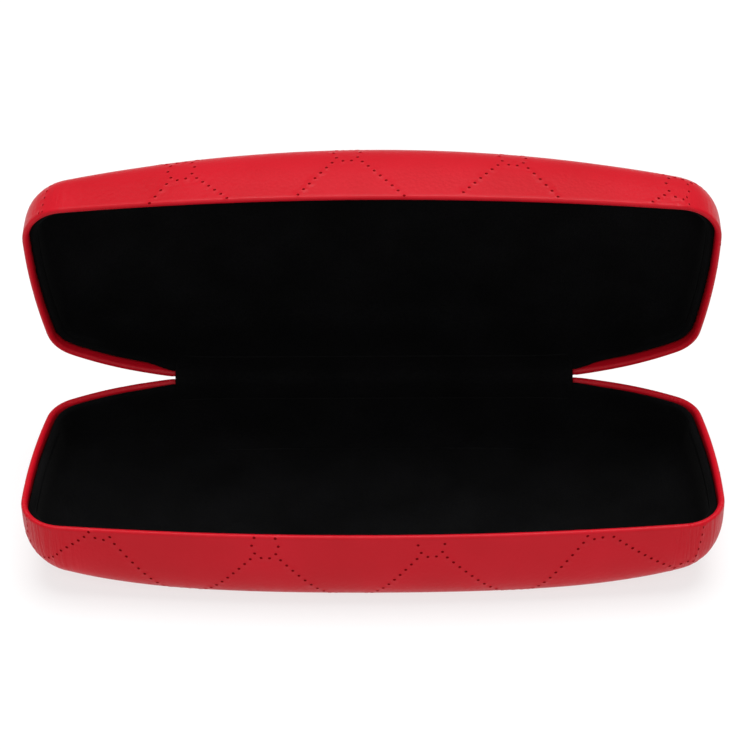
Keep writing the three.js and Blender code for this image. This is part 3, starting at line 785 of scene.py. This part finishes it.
def ribbon(name, stations, inner, outer, material, crease):
    """Closed strip between an inner and an outer path at stations along X, faintly creased."""
    loops = [np.concatenate([inner(x), outer(x)[::-1]]) for x in stations]
    size = len(loops[0])
    points = np.array([[(x, y, z) for y, z in loop] for x, loop in zip(stations, loops)])
    ripple = RNG.normal(size=(len(stations), size // 2))
    ripple[1:-1] = (ripple[:-2] + 2 * ripple[1:-1] + ripple[2:]) / 4
    both = np.concatenate([ripple, ripple[:, ::-1]], 1) * crease
    middle = np.clip(1 - np.abs(np.linspace(-1, 1, size // 2)), 0, 1)
    both *= np.concatenate([middle, middle[::-1]])[None]
    direction = np.stack([np.zeros_like(both), points[..., 1], points[..., 2]], -1)
    direction /= np.maximum(np.linalg.norm(direction, axis=-1, keepdims=True), 1e-9)
    points = points + direction * both[..., None]
    faces = []
    for i in range(len(stations) - 1):
        for k in range(size):
            m = (k + 1) % size
            faces.append([i * size + k, i * size + m, (i + 1) * size + m, (i + 1) * size + k])
    last = (len(stations) - 1) * size
    for k in range(size // 2 - 1):
        mate = size - 1 - k
        faces.append([k, mate, mate - 1, k + 1])
        faces.append([last + k, last + k + 1, last + mate - 1, last + mate])
    row = (points.reshape(-1, 3) + AXIS) * MM
    obj = new_object(name, row, faces, [material])
    bpy.context.view_layer.objects.active = obj
    obj.select_set(True)
    bpy.ops.object.mode_set(mode="EDIT")
    bpy.ops.mesh.select_all(action="SELECT")
    bpy.ops.mesh.normals_make_consistent(inside=False)
    bpy.ops.object.mode_set(mode="OBJECT")
    obj.select_set(False)
    return obj


def hinge_strips():
    stations = np.linspace(-STRIP_HALF, STRIP_HALF, STRIP_STATIONS)
    inside = ribbon(
        "hinge_flock_strip",
        stations,
        lambda x: inner_path(x, 0, (0.4, 0.25, 0.0, 0.0)),
        lambda x: inner_path(x, 0.4, (0.52, 0.34, 0.1, 0.0)),
        FLOCK,
        0.05,
    )
    outside = ribbon(
        "spine_leatherette",
        stations,
        lambda x: outer_path(x, 0, 0),
        lambda x: outer_path(x, SKIN, 0.12),
        STRIP_RED,
        0.02,
    )
    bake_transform(inside)
    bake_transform(outside)
    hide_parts("hinge_lining")
    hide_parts("spine_cover")


# ---- Build ----
for form, pattern in ((BASE, BASE_PATTERN), (LID, LID_PATTERN)):
    skin = cover(form, pattern)
    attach(skin, form["word"])
    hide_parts(form["word"] + "_cover")
    tray = lining(form)
    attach(tray, form["word"])
    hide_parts(form["word"] + "_lining")
hinge_strips()

for name, node in frame["nodes"].items():
    if "rivet" in name or "pin" in name:
        material = RIVET_STEEL
    elif "spring" in name:
        material = SPRING_STEEL
    elif "leaf" in name or "shell" in name:
        material = SHEET_STEEL
    else:
        continue
    node.data.materials.clear()
    node.data.materials.append(material)


# ---- Studio ----
WHITE = (1, 1, 1, 1)
FLOOR_DARK, FLOOR_LIGHT = (0.24, 0.24, 0.24), (0.26, 0.26, 0.26)
FLOOR_GLOW = 0.7
FLOOR_HALF = 40
FLOOR_DROP = 0.0002
SKY = 0.39
LIGHTS = (("overhead", -8, 42, 3.0), ("front", 54, 52, 0.86))  # name, tilt, angle, power


def studio():
    m = Nodes("studio_floor")
    noise = m.add("ShaderNodeTexNoise", Scale=6.0, Detail=2.0)
    tone = m.colours(noise.outputs["Fac"], [(0.3, FLOOR_DARK), (0.7, FLOOR_LIGHT)])
    m.link(tone, m.shader.inputs["Base Color"])
    m.set(Roughness=0.9, Specular_IOR_Level=0.1, Emission_Color=WHITE, Emission_Strength=FLOOR_GLOW)
    mesh = bpy.data.meshes.new("studio_floor")
    corners = [(x * FLOOR_HALF, y * FLOOR_HALF, 0) for x, y in ((-1, -1), (1, -1), (1, 1), (-1, 1))]
    mesh.from_pydata(corners, [], [(0, 1, 2, 3)])
    mesh.materials.append(m.material)
    ground = bpy.data.objects.new("studio_floor", mesh)
    ground.location.z = -FLOOR_DROP
    bpy.context.scene.collection.objects.link(ground)
    world = bpy.data.worlds.new("studio")
    world.use_nodes = True
    world.node_tree.nodes["Background"].inputs["Color"].default_value = WHITE
    world.node_tree.nodes["Background"].inputs["Strength"].default_value = SKY
    bpy.context.scene.world = world
    for name, tilt, angle, power in LIGHTS:
        light = bpy.data.lights.new(name, "SUN")
        light.angle = math.radians(angle)
        light.energy = power
        lamp = bpy.data.objects.new(name, light)
        lamp.rotation_euler = (math.radians(tilt), math.radians(3), 0)
        bpy.context.scene.collection.objects.link(lamp)
    bpy.context.scene.view_settings.view_transform = "Standard"


def camera():
    elevation, yaw, roll = math.radians(37.03), math.radians(-1.07), math.radians(-0.885)
    distance, focal, shift_x, shift_y = 600.0, 2397.0, -0.95, 0.0
    right = np.array([1, 0, 0.0])
    up = np.array([0, math.sin(elevation), math.cos(elevation)])
    ahead = np.array([0, math.cos(elevation), -math.sin(elevation)])
    c, s = math.cos(roll), math.sin(roll)
    turn = np.array([[math.cos(yaw), -math.sin(yaw), 0], [math.sin(yaw), math.cos(yaw), 0], [0, 0, 1.0]])
    view = np.stack([c * right + s * up, -s * right + c * up, ahead]) @ turn
    origin = np.array([shift_x / focal * distance, -shift_y / focal * distance, distance])
    place = (-(origin @ view) + [0, BACK, PARTING]) * MM
    matrix = Matrix([[view[0][i], view[1][i], -view[2][i], place[i]] for i in range(3)] + [[0, 0, 0, 1]])
    data = bpy.data.cameras.new("camera")
    data.sensor_width = 36
    data.lens = focal / 750 * 36
    data.clip_start = 0.01
    obj = bpy.data.objects.new("camera", data)
    obj.matrix_world = matrix
    bpy.context.scene.collection.objects.link(obj)
    bpy.context.scene.camera = obj


studio()
camera()

bpy.context.view_layer.update()
